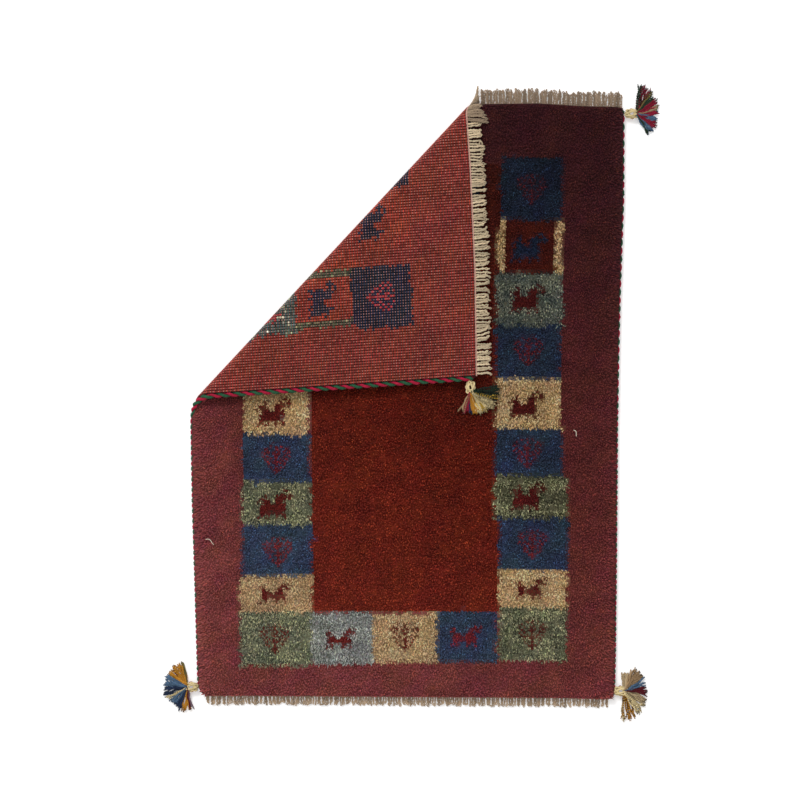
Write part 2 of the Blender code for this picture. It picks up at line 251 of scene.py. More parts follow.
def lay(flat):
    """Carry flat points to where they lie once the corner is folded over."""
    flat = np.asarray(flat, float)
    across, along, height = flat[..., 0], flat[..., 1], flat[..., 2]
    reach = fold_reach(across, along)
    on_axis = (across - FOLD_POINT[0]) * FOLD_ALONG[0] + (along - FOLD_POINT[1]) * FOLD_ALONG[1]
    angle = np.clip(reach / BEND_LENGTH, 0, 1) * math.pi
    radius = BEND_HEIGHT - height
    past_bend = np.maximum(0, reach - BEND_LENGTH)
    out = np.where(reach <= 0, reach, radius * np.sin(angle) - past_bend)
    lift = FLAP_LIFT * np.sin(math.pi * np.minimum(1, past_bend / FLAP_REACH))
    plan = FOLD_POINT + on_axis[..., None] * FOLD_ALONG + out[..., None] * FOLD_OUT
    return np.concatenate([plan, (BEND_HEIGHT - radius * np.cos(angle) + lift)[..., None]], axis=-1)


def edge_lines(across, along):
    """Where the rug's left, right, lower and upper edges are, level with flat points."""
    return (np.interp(along, *LEFT_EDGE.T), np.interp(along, *RIGHT_EDGE.T),
            np.interp(across, *BOTTOM_EDGE.T), np.interp(across, *TOP_EDGE.T))


def flat_place(u, v, set_back_sides, set_back_ends):
    """Flat place of a share u of the way across and v along the weave, its edges set back."""
    side, end = WEAVE_SET_BACK
    across = LEFT_EDGE[:, 1].mean() + u * (RIGHT_EDGE[:, 1].mean() - LEFT_EDGE[:, 1].mean())
    along = -0.42 + v * 0.844
    for _ in range(2):
        left, right, lower, upper = edge_lines(across, along)
        across = left + side + u * (right - left - 2 * side)
        along = lower + end + v * (upper - lower - 2 * end)
    left, right, lower, upper = edge_lines(across, along)
    near_left = np.clip(1 - (across - left - side) / EDGE_SPREAD[0], 0, 1) ** 2
    near_right = np.clip(1 - (right - side - across) / EDGE_SPREAD[0], 0, 1) ** 2
    near_lower = np.clip(1 - (along - lower - end) / EDGE_SPREAD[1], 0, 1) ** 2
    near_upper = np.clip(1 - (upper - end - along) / EDGE_SPREAD[1], 0, 1) ** 2
    across = across + (side - set_back_sides) * (near_right - near_left)
    along = along + (end - set_back_ends) * (near_upper - near_lower)
    for side_sign, end_sign, radius in CORNERS:
        wide = max(TIGHTEST_CORNER, radius - set_back_sides)
        deep = max(TIGHTEST_CORNER, radius - set_back_ends)
        to_side = right - across if side_sign > 0 else across - left
        to_end = upper - along if end_sign > 0 else along - lower
        a = np.clip(1 - (to_side - set_back_sides) / wide, 0, 1)
        b = np.clip(1 - (to_end - set_back_ends) / deep, 0, 1)
        across = across + side_sign * wide * a * (np.sqrt(1 - b * b / 2) - 1)
        along = along + end_sign * deep * b * (np.sqrt(1 - a * a / 2) - 1)
    return across, along


def dye(code):
    """Colour of a dye from its six-figure code, as linear light."""
    parts = np.array([int(code[start:start + 2], 16) / 255 for start in (1, 3, 5)])
    return np.where(parts <= 0.04045, parts / 12.92, ((parts + 0.055) / 1.055) ** 2.4)


def broad_noise(across, along, size, seed):
    """Slow uneven variation over the rug, from -1 to 1."""
    rng = np.random.default_rng(seed)
    total = np.zeros_like(across)
    for octave in range(3):
        heading = rng.uniform(0, 2 * math.pi, 5)
        phase = rng.uniform(0, 2 * math.pi, 5)
        scale = 2 * math.pi / (size / 1.7 ** octave) * rng.uniform(0.7, 1.3, 5)
        for turn, start, wave in zip(heading, phase, scale):
            total += np.sin(wave * (across * math.cos(turn) + along * math.sin(turn)) + start) / 5
    return np.clip(total / 1.1, -1, 1)


def knot_plan():
    """Flat place of every knot, row by row from the lower end, and its row in the table of dyes."""
    names = [row[0] for row in DYES]
    rng = np.random.default_rng(11)
    row_number, column_number = np.mgrid[0:KNOT_ROWS, 0:KNOT_COLUMNS]
    u, v = (column_number + 0.5) / KNOT_COLUMNS, (row_number + 0.5) / KNOT_ROWS
    across, along = flat_place(u, v, *WEAVE_SET_BACK)
    seen = along - PILE_LEAN * (fold_reach(across, along) < 0)
    inside = (across > RING_LEFT) & (across < RING_RIGHT) & (seen > RING_LOWER) & (seen < RING_UPPER)
    plan = np.where(inside, names.index("field red"), names.index("border red"))
    row_wobble = rng.choice((-1, 0, 0, 0, 1), (KNOT_ROWS, 1)) * KNOT_PITCH * EDGE_WOBBLE[0]
    column_wobble = rng.choice((-1, 0, 0, 0, 1), (1, KNOT_COLUMNS)) * KNOT_PITCH * EDGE_WOBBLE[1]
    for ground, figure, figure_dye, frame_dye, left, right, lower, upper in SQUARES:
        place = (across + row_wobble, seen + column_wobble)
        square = (place[0] > left) & (place[0] < right) & (place[1] > lower) & (place[1] < upper)
        plan[square] = names.index(ground)
        if frame_dye:
            at_side = square & ((place[0] < left + FRAME_WIDTH) | (place[0] > right - FRAME_WIDTH))
            plan[at_side] = names.index(frame_dye)
        middle = np.argmin(np.hypot(across - (left + right) / 2, seen - (lower + upper) / 2))
        row, column = divmod(int(middle), KNOT_COLUMNS)
        lines = FIGURES[figure]
        top = row + len(lines) // 2
        first = column - len(lines[0]) // 2
        for down, line in enumerate(lines):
            for step, mark in enumerate(line):
                if mark == "#":
                    plan[top - down, first + step] = names.index(figure_dye)
    return across, along, plan


def dye_wool(plan, across, along, rng, back=False):
    """Two linear colours for each yarn, its dye and the fibres mixed in, unevenly dyed, with the pile partly
    abrash and partly painted sheen towards the near left and painted shade towards the far right.
    """
    shades = np.array([[dye(code) for code in row[1:5]] + [dye(row[7])] for row in DYES])[plan]
    fleck_share = np.array([row[5] for row in DYES])[plan]
    spread = np.array([row[6] for row in DYES])[plan]
    # Painted sheen towards the near left and painted shade towards the far right, mixed with the abrash of
    # the dyes.
    towards_near = np.clip((-along - SHEEN_AND_ABRASH_SLANT * across) / NEAR_SHEEN_AND_ABRASH_REACH, 0, 1)[..., None]
    towards_far = np.clip((along + SHEEN_AND_ABRASH_SLANT * across) / FAR_SHADE_AND_ABRASH_REACH, 0, 1)[..., None]
    colour = shades[..., 1, :] * (1 - towards_near - towards_far)
    colour = colour + shades[..., 2, :] * towards_near + shades[..., 0, :] * towards_far
    mixed = np.isin(plan, [place for place, row in enumerate(DYES) if row[0] in MIXED_DYES])
    if back:
        colour = shades[..., 4, :]
        fleck_share = np.where(mixed, fleck_share, 0.0)
    bands = np.clip(0.5 + 0.9 * broad_noise(across * 0.25, along, BAND_SIZE, 7), 0, 1.6)
    fleck_share = fleck_share * np.where(mixed, 0.25 + 1.1 * bands, 1.0)
    fleck = (rng.random(plan.shape) < fleck_share) * rng.uniform(0.3, 1.0, plan.shape)
    own_light = colour.sum(-1) / shades[..., 1, :].sum(-1)
    fleck_colour = shades[..., 3, :] * np.clip(own_light, 0.3, 1.3)[..., None]
    colour = colour + (fleck_colour - colour) * fleck[..., None]
    uneven = 1 + spread * np.clip(rng.normal(0, 1, plan.shape), -2, 2.5)
    uneven = uneven * (1 + PATCH_DEPTH * broad_noise(across, along, PATCH_SIZE, 5))
    drift = np.where(mixed, MIXED_HUE_DRIFT, 1.0) * HUE_DRIFT
    drift = drift * broad_noise(across, along, HUE_DRIFT_SIZE, 6)
    warmth = drift[..., None] * np.array(HUE_DRIFT_PARTS)
    hue = 1 + warmth + 0.06 * rng.normal(0, 1, (*plan.shape, 3))
    colour = colour * uneven[..., None] * hue
    mixed_in = rng.uniform(0.3, 1.0, plan.shape) * np.clip(bands, 0.35, 1)
    mixed_in = np.where(mixed, mixed_in, CLOSE_FIBRE_SHARE)
    fibres = colour + (fleck_colour - colour) * mixed_in[..., None]
    return np.clip(colour, 0.001, 0.95), np.clip(fibres, 0.001, 0.95)


def make_piece(name, places, faces, unwrapped, colours, domain="POINT"):
    """A mesh object from vertex places, face index arrays, one bake place a corner, and colours, which are
    dyes with any painted shade and painted highlight.
    """
    mesh = bpy.data.meshes.new(name)
    mesh.vertices.add(len(places))
    mesh.vertices.foreach_set("co", np.asarray(places, np.float32).ravel())
    sides = np.concatenate([np.full(len(group), group.shape[1]) for group in faces])
    corners_of = np.concatenate([group.ravel() for group in faces]).astype(np.int32)
    mesh.loops.add(len(corners_of))
    mesh.loops.foreach_set("vertex_index", corners_of)
    mesh.polygons.add(len(sides))
    mesh.polygons.foreach_set("loop_start", (np.cumsum(sides) - sides).astype(np.int32))
    mesh.polygons.foreach_set("use_smooth", np.full(len(sides), True))
    mesh.update(calc_edges=True)
    layer = mesh.uv_layers.new(name="OFBake")
    layer.data.foreach_set("uv", np.asarray(unwrapped, np.float32).ravel())
    rgba = np.ones((len(colours), 4), np.float32)
    rgba[:, :3] = colours
    mesh.attributes.new("dye", "FLOAT_COLOR", domain).data.foreach_set("color", rgba.ravel())
    piece = bpy.data.objects.new(name, mesh)
    scene.collection.objects.link(piece)
    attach(piece, "root")
    return piece


class Value:
    """A shader value. Sums on it add Math nodes, so that a finish reads as an expression."""

    def __init__(self, finish, socket):
        self.finish = finish
        self.socket = socket

    def math(self, operation, first, second=0.0):
        return self.finish.node("ShaderNodeMath", {"operation": operation}, {0: first, 1: second})

    def __add__(self, other):
        return self.math("ADD", self, other)

    __radd__ = __add__

    def __mul__(self, other):
        return self.math("MULTIPLY", self, other)

    __rmul__ = __mul__

    def __sub__(self, other):
        return self.math("SUBTRACT", self, other)

    def __rsub__(self, other):
        return self.math("SUBTRACT", other, self)


class Finish:
    """A wool finish: one material, and the nodes that give its colour and relief."""

    def __init__(self, name, roughness, sheen):
        self.material = bpy.data.materials.new(name)
        self.material.use_nodes = True
        self.tree = self.material.node_tree
        self.shader = self.tree.nodes["Principled BSDF"]
        self.shader.inputs["Roughness"].default_value = roughness
        self.shader.inputs["Specular IOR Level"].default_value = 0.06
        self.shader.inputs["Sheen Weight"].default_value = sheen
        self.shader.inputs["Sheen Roughness"].default_value = 0.6

    def node(self, kind, settings=None, sockets=None, outlet=0):
        """Add a node of any type, with its settings and its socket values or links."""
        node = self.tree.nodes.new(kind)
        for setting, value in (settings or {}).items():
            setattr(node, setting, value)
        for socket, value in (sockets or {}).items():
            if isinstance(value, Value):
                self.tree.links.new(value.socket, node.inputs[socket])
            else:
                node.inputs[socket].default_value = value
        return Value(self, node.outputs[outlet])

    def noise(self, size, detail=2.0):
        """Soft noise from 0 to 1 whose lumps are about this many metres across."""
        place = self.node("ShaderNodeTexCoord", outlet="Object")
        return self.node("ShaderNodeTexNoise", None, {"Vector": place, "Scale": 1 / size, "Detail": detail})

    def blend(self, share, first, second):
        """A share of the way from one colour to another."""
        return self.node("ShaderNodeMix", {"data_type": "RGBA"}, {0: share, 6: first, 7: second}, 2)

    def shade(self, colour, strength):
        """A colour made darker or lighter by a value."""
        return self.node("ShaderNodeVectorMath", {"operation": "SCALE"}, {0: colour, "Scale": strength})

    def fill(self, socket, value):
        self.tree.links.new(value.socket, self.shader.inputs[socket])

    def relief(self, height, depth):
        """Bump the surface by a height value that stands for this many metres."""
        bump = self.node("ShaderNodeBump", None, {"Height": height, "Distance": depth, "Strength": 1.0})
        self.fill("Normal", bump)


weave = Finish("wool_ground_weave", 0.95, 0.04)
weave_colour_with_painted_shade = weave.node("ShaderNodeAttribute", {"attribute_name": "dye"}, outlet="Color")
weave.fill("Base Color", weave.shade(weave_colour_with_painted_shade, 0.75 + 0.5 * weave.noise(0.0016)))
weave_grid = weave.node("ShaderNodeAttribute", {"attribute_name": "knot_place"}, outlet="Vector")
grid_parts = weave.node("ShaderNodeSeparateXYZ", None, {0: weave_grid})
knot_across = Value(weave, grid_parts.socket.node.outputs[0])
knot_along = Value(weave, grid_parts.socket.node.outputs[1])
across_wave = knot_across.math("SINE", knot_across * math.pi)
along_wave = knot_along.math("SINE", knot_along * math.pi)
knot_bump = across_wave.math("ABSOLUTE", across_wave) * along_wave.math("ABSOLUTE", along_wave)
weave.relief(knot_bump + 0.25 * weave.noise(0.0009), 0.0007)


def grid_sheet(columns, rows, first):
    """Shares across and along of a grid's points, its faces, and its outer ring of points."""
    number = first + np.arange((rows + 1) * (columns + 1)).reshape(rows + 1, columns + 1)
    line_v, line_u = np.mgrid[0:rows + 1, 0:columns + 1]
    shares = np.stack([line_u.ravel() / columns, line_v.ravel() / rows], axis=-1)
    faces = np.stack([number[:-1, :-1], number[:-1, 1:], number[1:, 1:], number[1:, :-1]], axis=-1)
    ring = np.concatenate([number[0, :-1], number[:-1, -1], number[-1, :0:-1], number[:0:-1, 0]])
    return shares, faces.reshape(-1, 4), ring


def body_level(row, shares):
    """Flat points of the body at one level of its edge section."""
    height, sides, ends = row
    across, along = flat_place(shares[:, 0], shares[:, 1], sides, ends)
    return np.stack([across, along, np.full_like(across, height)], axis=-1)


def bake_place(shares, half, grown):
    """Where points of the underside (half 0) or the pile side (half 1) go on the bake sheet."""
    grown_out = 0.5 + (shares - 0.5) * (BAKE_SHARE + BAKE_RIM_STEP * grown)
    return np.stack([(grown_out[..., 0] + half) / 2, grown_out[..., 1]], axis=-1)


def at_knots(shares):
    """The row and column of the knot at each pair of shares."""
    row = np.clip((shares[..., 1] * KNOT_ROWS).astype(int), 0, KNOT_ROWS - 1)
    return row, np.clip((shares[..., 0] * KNOT_COLUMNS).astype(int), 0, KNOT_COLUMNS - 1)


knot_x, knot_y, chart = knot_plan()
under_shares, under_faces, under_ring = grid_sheet(KNOT_COLUMNS, KNOT_ROWS, 0)
rim_shares = under_shares[under_ring][::2]
rim_size = len(rim_shares)
upper_start = len(under_shares) + rim_size * (len(BODY_ROWS) - 2)
upper_shares, upper_faces, upper_ring = grid_sheet(KNOT_COLUMNS // 2, KNOT_ROWS // 2, upper_start)
layers = [body_level(BODY_ROWS[0], under_shares)]
layers += [body_level(row, rim_shares) for row in BODY_ROWS[1:-1]]
layers.append(body_level(BODY_ROWS[-1], upper_shares))
loops = [len(under_shares) + rim_size * level + np.arange(rim_size)
         for level in range(len(BODY_ROWS) - 2)]
loops.append(upper_ring)
beyond = np.roll(np.arange(rim_size), -1)

body_faces = [under_faces[:, ::-1]]
body_uv = [bake_place(under_shares[under_faces[:, ::-1]], 0, 0).reshape(-1, 2)]
fine = under_ring.reshape(-1, 2)
body_faces.append(np.stack([fine[:, 0], fine[:, 1], fine[beyond, 0], loops[0][beyond], loops[0]], axis=-1))
fine_shares = under_shares[body_faces[1][:, :3]]
strip = [bake_place(fine_shares[:, side], 0, 1) for side in range(3)]
strip += [bake_place(rim_shares[beyond], 0, 2), bake_place(rim_shares, 0, 2)]
body_uv.append(np.stack(strip, axis=1).reshape(-1, 2))
for level in range(len(loops) - 1):
    low, high = loops[level], loops[level + 1]
    body_faces.append(np.stack([low, low[beyond], high[beyond], high], axis=-1))
    half = int(level == len(loops) - 2)
    grown = (1, 0) if half else (level + 2, level + 3)
    strip = [bake_place(rim_shares, half, grown[0]), bake_place(rim_shares[beyond], half, grown[0]),
             bake_place(rim_shares[beyond], half, grown[1]), bake_place(rim_shares, half, grown[1])]
    body_uv.append(np.stack(strip, axis=1).reshape(-1, 2))
body_faces.append(upper_faces)
body_uv.append(bake_place(upper_shares[upper_faces - upper_start], 1, 0).reshape(-1, 2))

knots_rng = np.random.default_rng(21)
back_colour = dye_wool(chart, knot_x, knot_y, knots_rng, back=True)[0]
# The lower pile, seen between the tufts and on the body's sides, is its dye darkened as painted shade.
deep_colour = dye_wool(chart, knot_x, knot_y, knots_rng)[0] * DEEP_PILE_SHADE
rim_colour = deep_colour[at_knots(rim_shares)]
by_fours = deep_colour.reshape(KNOT_ROWS // 2, 2, KNOT_COLUMNS // 2, 2, 3)
upper_colour = by_fours.mean(axis=(1, 3)).reshape(-1, 3)
# The underside between the knot nodes is the back's dye darkened as painted shade in the gaps.
gap_colour = back_colour.reshape(-1, 3) * WEAVE_GAP_SHADE
body_colour_with_painted_shade = np.concatenate([gap_colour] + [rim_colour] * len(loops) + [upper_colour])
rug_weave = make_piece("rug_weave", lay(np.concatenate(layers)), body_faces, np.concatenate(body_uv),
                       body_colour_with_painted_shade, "FACE")
knot_place = np.zeros((upper_start + len(upper_shares), 3), np.float32)
knot_place[:len(under_shares), :2] = under_shares * (KNOT_COLUMNS, KNOT_ROWS)
knot_place[upper_start:, :2] = upper_shares * (KNOT_COLUMNS, KNOT_ROWS)
knot_layer = rug_weave.data.attributes.new("knot_place", "FLOAT_VECTOR", "POINT")
knot_layer.data.foreach_set("vector", knot_place.ravel())
rug_weave.data.materials.append(weave.material)
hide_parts("rug_body")

# The cut pile: every knot ties two tufts of soft wool yarn, which stand up through the dense
# lower pile, lean towards the near end, and splay at their cut tips. Mixed-wool squares are looser.
TUFT_ROOT = 0.0074
TUFT_TIP = 0.0126
TUFT_HIGHEST = 0.0134
TUFT_IN_FOLD = THICKNESS + 0.0003
NEAR_FOLD = -0.006
ROOT_SET_BACK = (0.0100, 0.0000)
TIP_SET_BACK = (0.0008, -0.0006)
CORD_SHOWS = np.array((  # along, how far the pile stops short of the left edge
    (-0.42, 0.0010), (-0.12, 0.0012), (-0.06, 0.0034), (0.0, 0.0040), (0.42, 0.0020),
))
TUFT_SIDES = 3
TUFT_WIDEST = 0.64
TUFT_RADIUS = 0.00125
TUFT_LEANING = 0.52
COVERED_BAND = 0.020
FOLDED_FROM = -0.002
WEAR_DEPTH, WEAR_SIZE = 0.0007, 0.055
TUFT_ROOT_SHADE = 0.22
TUFT_TIP_HIGHLIGHT = 1.22
TUFTS_AT_FULL_RADIUS = 2.6
TUFT_LEAN = {  # lean towards the near end, how unevenly, added height
    "close": (0.0019, 0.0010, 0.0),
    "loose": (0.0030, 0.0017, 0.0004),
}

pile = Finish("cut_wool_pile", 0.93, 0.04)
pile_colour_with_painted_light = pile.node("ShaderNodeAttribute", {"attribute_name": "dye"}, outlet="Color")
pile_fibres = pile.node("ShaderNodeAttribute", {"attribute_name": "fibres"}, outlet="Color")
streaks = pile.node("ShaderNodeMapRange", {"interpolation_type": "SMOOTHSTEP"},
                    {"Value": pile.noise(0.0011, 3.0), "From Min": 0.47, "From Max": 0.60}, "Result")
streaked = pile.blend(streaks, pile_colour_with_painted_light, pile_fibres)
pile.fill("Base Color", pile.shade(streaked, 0.62 + 0.76 * pile.noise(0.0008)))
pile.relief(pile.noise(0.0004), 0.00025)


def seen_from_outside(across, along):
    """Whether pile shows, or lies too deep between the rug and its folded corner to be seen."""
    reach = fold_reach(across, along)
    deeper = np.where(reach < 0, BEND_LENGTH - 2 * reach, 0.0)
    x, y = across + deeper * FOLD_OUT[0], along + deeper * FOLD_OUT[1]
    left, right, lower, upper = edge_lines(x, y)
    inside = np.minimum(np.minimum(x - left, right - x), np.minimum(y - lower, upper - y))
    return inside < COVERED_BAND


def grow_tufts(name, knots, tufts, seed):
    """One piece of pile: so many tufts for each knot in a mask of the plan."""
    rng = np.random.default_rng(seed)
    rows, columns = np.nonzero(knots)
    rows, columns = np.repeat(rows, tufts), np.repeat(columns, tufts)
    count = len(rows)
    which = np.tile(np.arange(tufts), count // tufts)
    beside = (which + 0.5) / tufts - 0.5
    u = (columns + 0.5 + beside + rng.uniform(-0.5, 0.5, count) / tufts) / KNOT_COLUMNS
    v = (rows + 0.5 + rng.uniform(-0.5, 0.5, count)) / KNOT_ROWS
    plan = chart[rows, columns]
    loose = np.isin(plan, [place for place, row in enumerate(DYES) if row[0] in MIXED_DYES])
    lean, unevenness, taller = (np.where(loose, loose_value, close_value) for close_value, loose_value
                                in zip(TUFT_LEAN["close"], TUFT_LEAN["loose"]))
    root = np.stack(flat_place(u, v, *ROOT_SET_BACK), axis=-1)
    tip = np.stack(flat_place(u, v, *TIP_SET_BACK), axis=-1)
    tip = tip + rng.normal(0, 1, (count, 2)) * unevenness[:, None]
    tip[:, 1] -= lean
    left, right, lower, upper = edge_lines(tip[:, 0], tip[:, 1])
    cord_shows = np.interp(tip[:, 1], *CORD_SHOWS.T)
    tip[:, 0] = np.clip(tip[:, 0], left + cord_shows, right + 0.0002)
    tip[:, 1] = np.clip(tip[:, 1], lower - 0.0010, upper + 0.0010)
    wear = WEAR_DEPTH * broad_noise(root[:, 0], root[:, 1], WEAR_SIZE, 9)
    height = TUFT_TIP + taller + wear + rng.normal(0, 0.0005, count)
    near_fold = fold_reach(root[:, 0], root[:, 1]) > NEAR_FOLD
    height = np.minimum(height, np.where(near_fold, TUFT_IN_FOLD, TUFT_HIGHEST))
    turn = rng.uniform(0, 2 * math.pi, count)
    stout = TUFT_RADIUS * rng.uniform(0.78, 1.18, count) * math.sqrt(TUFTS_AT_FULL_RADIUS / tufts)
    middle = root + (tip - root) * TUFT_LEANING
    widest = TUFT_ROOT + (height - TUFT_ROOT) * TUFT_WIDEST
    levels = [np.column_stack([root, np.full(count, TUFT_ROOT)])]
    for side in range(TUFT_SIDES):
        angle = turn + 2 * math.pi * side / TUFT_SIDES
        offset = np.stack([np.cos(angle), np.sin(angle)], axis=-1) * stout[:, None]
        levels.append(np.column_stack([middle + offset, widest]))
    levels.append(np.column_stack([tip, height]))
    places = np.stack(levels, axis=1).reshape(-1, 3)
    around = [(side + 1, (side + 1) % TUFT_SIDES + 1) for side in range(TUFT_SIDES)]
    pattern = [(here, 0, there) for here, there in around]
    pattern += [(here, there, TUFT_SIDES + 1) for here, there in around]
    faces = ((np.arange(count) * len(levels))[:, None, None] + np.array(pattern)[None]).reshape(-1, 3)

    def petal(turns, radius):
        return (0.5 + radius * math.cos(2 * math.pi * turns / TUFT_SIDES),
                0.5 + radius * math.sin(2 * math.pi * turns / TUFT_SIDES))

    flower = [(petal(side, 0.24), petal(side + 0.5, 0.48), petal(side + 1, 0.24))
              for side in range(TUFT_SIDES)]
    flower += [(petal(side, 0.24), petal(side + 1, 0.24), (0.5, 0.5)) for side in range(TUFT_SIDES)]
    cells = math.ceil(math.sqrt(count))
    cell = np.stack([np.arange(count) % cells, np.arange(count) // cells], axis=-1)
    opened = (cell[:, None, None, :] + np.array(flower)[None]) / cells
    colour, fibres = dye_wool(plan, root[:, 0], root[:, 1], rng)
    # Each tuft is painted dark at its root, as painted shade deep in the pile, and lighter at its tip, as a
    # painted highlight.
    shade = np.array([TUFT_ROOT_SHADE] + [1.0] * TUFT_SIDES + [TUFT_TIP_HIGHLIGHT])[None, :, None]
    piece = make_piece(name, lay(places), [faces], opened.reshape(-1, 2),
                       np.clip(colour[:, None, :] * shade, 0, 1).reshape(-1, 3))
    rgba = np.ones((len(places), 4), np.float32)
    rgba[:, :3] = np.clip(fibres[:, None, :] * shade, 0, 1).reshape(-1, 3)
    piece.data.attributes.new("fibres", "FLOAT_COLOR", "POINT").data.foreach_set("color", rgba.ravel())
    piece.data.materials.append(pile.material)
    return piece


shown = seen_from_outside(knot_x, knot_y)
folded_in = fold_reach(knot_x, knot_y) > FOLDED_FROM
in_field = (knot_x > RING_LEFT) & (knot_x < RING_RIGHT) & (knot_y > RING_LOWER) & (knot_y < RING_UPPER)
in_ring = (knot_x > SQUARES_LEFT) & (knot_x < SQUARES_RIGHT) & ~in_field
in_ring = in_ring & (knot_y > SQUARES_LOWER) & (knot_y < SQUARES_UPPER)
outside = ~in_field & ~in_ring
PILE_PARTS = {  # knots, tufts a knot
    "pile_field": (shown & in_field & ~folded_in, 3),
    "pile_squares_left": (shown & in_ring & ~folded_in & (knot_x < 0), 4),
    "pile_squares_right": (shown & in_ring & ~folded_in & (knot_x >= 0), 4),
    "pile_border_left": (shown & outside & ~folded_in & (knot_x < 0), 3),
    "pile_border_right": (shown & outside & ~folded_in & (knot_x >= 0), 3),
    "pile_in_the_fold": (shown & folded_in, 2),
}
pile_pieces = [grow_tufts(part, knots, tufts, 40 + place)
               for place, (part, (knots, tufts)) in enumerate(PILE_PARTS.items())]

# The back of the folded corner: each knot shows as a low wool node, and between two rows of
# knots the pale red weft crosses the warps as a line of small beads.
NODE_SIZE = (0.43, 0.30)
NODE_TOP_SHARE = 0.55
NODE_BASE = 0.0004
NODE_TOP = -0.00060
BEAD_SIZE = (0.34, 0.20)
BEAD_TOP = -0.00078
NODE_SHADE_AND_HIGHLIGHT = (0.42, 1.25)
NODE_BAKE_FOOT, NODE_BAKE_TOP = 0.46, 0.30
WEFT_COLOUR = dye("#c98c80")
NODE_BACK_FROM = 0.003
WEFT_SHARE = 0.72
WEFT_UNEVENNESS = (0.35, 1.45)

knotted_back = Finish("knotted_wool_back", 0.92, 0.04)
back_colour_with_painted_light = knotted_back.node("ShaderNodeAttribute", {"attribute_name": "dye"}, outlet="Color")
knotted_back.fill("Base Color", knotted_back.shade(back_colour_with_painted_light, 0.78 + 0.44 * knotted_back.noise(0.0006)))
knotted_back.relief(knotted_back.noise(0.0005), 0.0002)


def raise_nodes(name, rows, columns, shift, size, top_share, top, colours):
    """Low four-sided lumps, one for each of some knots, on the back of the cloth."""
    count = len(rows)
    corner = np.array(((-1, -1), (1, -1), (1, 1), (-1, 1)), float)
    steps = [(step, NODE_BASE) for step in corner]
    steps += [(step * top_share, top) for step in corner] if top_share else [(corner[0] * 0, top)]
    levels = []
    for step, height in steps:
        u = (columns + 0.5 + step[0] * size[0]) / KNOT_COLUMNS
        v = np.clip((rows + 0.5 + shift + step[1] * size[1]) / KNOT_ROWS, 0, 1)
        across, along = flat_place(u, v, *WEAVE_SET_BACK)
        levels.append(np.column_stack([across, along, np.full(count, height)]))
    places = np.stack(levels, axis=1).reshape(-1, 3)
    if top_share:
        pattern = [(side, side + 4, (side + 1) % 4 + 4, (side + 1) % 4) for side in range(4)] + [(7, 6, 5, 4)]
        flower = np.concatenate([corner * NODE_BAKE_FOOT, corner * NODE_BAKE_TOP]) + 0.5
    else:
        pattern = [(side, 4, (side + 1) % 4) for side in range(4)]
        flower = np.concatenate([corner * NODE_BAKE_FOOT, [[0.0, 0.0]]]) + 0.5
    faces = (np.arange(count) * len(steps))[:, None, None] + np.array(pattern)[None]
    faces = faces.reshape(-1, len(pattern[0]))
    cells = math.ceil(math.sqrt(count))
    cell = np.stack([np.arange(count) % cells, np.arange(count) // cells], axis=-1)
    opened = ((cell[:, None, :] + flower[None]) / cells).reshape(-1, 2)
    # Each node and bead is painted dark at its foot, as painted shade, and lighter on its top, as a painted
    # highlight.
    shade = np.array([NODE_SHADE_AND_HIGHLIGHT[0]] * 4 + [NODE_SHADE_AND_HIGHLIGHT[1]] * (len(steps) - 4))[None, :, None]
    colours = np.clip(colours[:, None, :] * shade, 0, 1).reshape(-1, 3)
    piece = make_piece(name, lay(places), [faces], opened[faces.ravel()], colours)
    piece.data.materials.append(knotted_back.material)
    return piece


node_rows, node_columns = np.nonzero(fold_reach(knot_x, knot_y) > NODE_BACK_FROM)
node_rng = np.random.default_rng(61)
node_colour = dye_wool(chart[node_rows, node_columns], knot_x[node_rows, node_columns],
                       knot_y[node_rows, node_columns], node_rng, back=True)[0]
back_knots = raise_nodes("back_knots", node_rows, node_columns, 0.0, NODE_SIZE, NODE_TOP_SHARE, NODE_TOP,
                         node_colour)
weft_colour = node_colour + (WEFT_COLOUR - node_colour) * WEFT_SHARE
weft_colour = weft_colour * node_rng.uniform(*WEFT_UNEVENNESS, (len(node_rows), 1))
weft_beads = raise_nodes("back_weft_beads", node_rows, node_columns, 0.5, BEAD_SIZE, 0, BEAD_TOP, weft_colour)

# The side cords: a bundle of red wool yarns and one of green, laid round each other like a
# rope and sewn along each side of the rug. The pile leans out over them, except near the fold.
CORD_HEIGHT = 0.0044
CORD_SET_BACK = 0.0046
CORD_STEP = 0.0019
CORD_ORBIT = 0.0020
CORD_END_TAPER, CORD_END_SHARE = 0.003, 0.45
BUNDLE_RADIUS = 0.0023
BUNDLE_LOBES = (0.84, 1.05, 1.0) * 4
BUNDLE_TURN = 0.0150
CORDS = {
    "side_cord_left": {"edge": LEFT_EDGE, "inward": 1, "gaps": (0.0100, 0.0040)},
    "side_cord_right": {"edge": RIGHT_EDGE, "inward": -1, "gaps": (0.0040, 0.0040)},
}
CORD_LAY = np.array((  # along, length of one full turn
    (-0.42, 0.0150), (-0.04, 0.0150), (0.03, 0.0236), (0.43, 0.0236),
))
CORD_RED = dye("#b0203e")
CORD_GREEN = dye("#2c5c40")

cord_wool = Finish("side_cord_wool", 0.85, 0.06)
cord_dye = cord_wool.node("ShaderNodeAttribute", {"attribute_name": "dye"}, outlet="Color")
cord_wool.fill("Base Color", cord_wool.shade(cord_dye, 0.7 + 0.6 * cord_wool.noise(0.0008)))
cord_wool.relief(cord_wool.noise(0.0004), 0.0003)


def line_frames(centres):
    """For each point of some centre lines, the directions sideways and upwards from the line."""
    ahead = np.gradient(centres, axis=1)
    ahead /= np.linalg.norm(ahead, axis=-1, keepdims=True) + 1e-12
    upward = np.where(np.abs(ahead[..., 2:]) > 0.92, (1.0, 0.0, 0.0), (0.0, 0.0, 1.0))
    sideways = np.cross(ahead, upward)
    sideways /= np.linalg.norm(sideways, axis=-1, keepdims=True)
    return sideways, np.cross(sideways, ahead)


